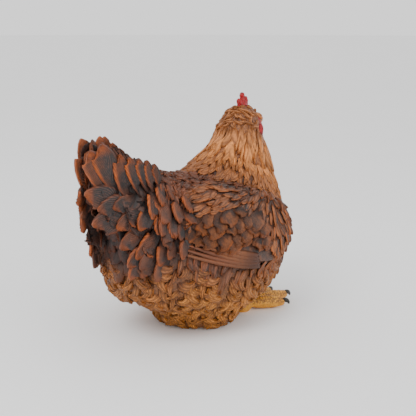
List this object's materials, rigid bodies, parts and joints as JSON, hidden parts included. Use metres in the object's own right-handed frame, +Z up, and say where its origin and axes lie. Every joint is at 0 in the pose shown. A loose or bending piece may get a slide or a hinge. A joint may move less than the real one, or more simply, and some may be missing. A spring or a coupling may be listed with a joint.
{
  "type": "hen statue",
  "caption": "Life-size garden statue of a sitting hen, cast in resin and painted, with raised tail, folded wings and feet in front.",
  "frame": {"origin": "middle of the statue's box, on the ground", "axes": "+X the way the breast faces, +Y the hen's left, +Z up"},
  "size_m": [0.315, 0.2024, 0.277],
  "materials": {
    "body_feathers": "painted resin, dry-brushed, semi-matte",
    "hackle_feathers": "painted resin, golden brown, semi-matte",
    "wing_feathers": "painted resin, dark wash with orange edges",
    "tail_feathers": "painted resin, slate centres with rusty rims",
    "toes": "painted resin, ochre with brown wash",
    "claws": "painted resin, near black",
    "comb_and_wattles": "painted resin, red, satin",
    "beak": "painted resin, horn yellow",
    "eyes": "painted resin, orange iris with black pupil, glossy"
  },
  "bodies": {
    "root": {"trunk": "body_feathers", "neck": "hackle_feathers", "head": "hackle_feathers", "wing_right": "wing_feathers", "wing_left": "wing_feathers", "tail_right": "tail_feathers", "tail_left": "tail_feathers", "foot_right": "toes", "foot_left": "toes", "claw_right_outer": "claws", "claw_right_middle": "claws", "claw_right_inner": "claws", "claw_left_outer": "claws", "claw_left_middle": "claws", "claw_left_inner": "claws", "comb": "comb_and_wattles", "wattle_right": "comb_and_wattles", "wattle_left": "comb_and_wattles", "earlobe_right": "comb_and_wattles", "earlobe_left": "comb_and_wattles", "beak_upper": "beak", "beak_lower": "beak", "eye_right": "eyes", "eye_left": "eyes"}
  },
  "joints": []
}
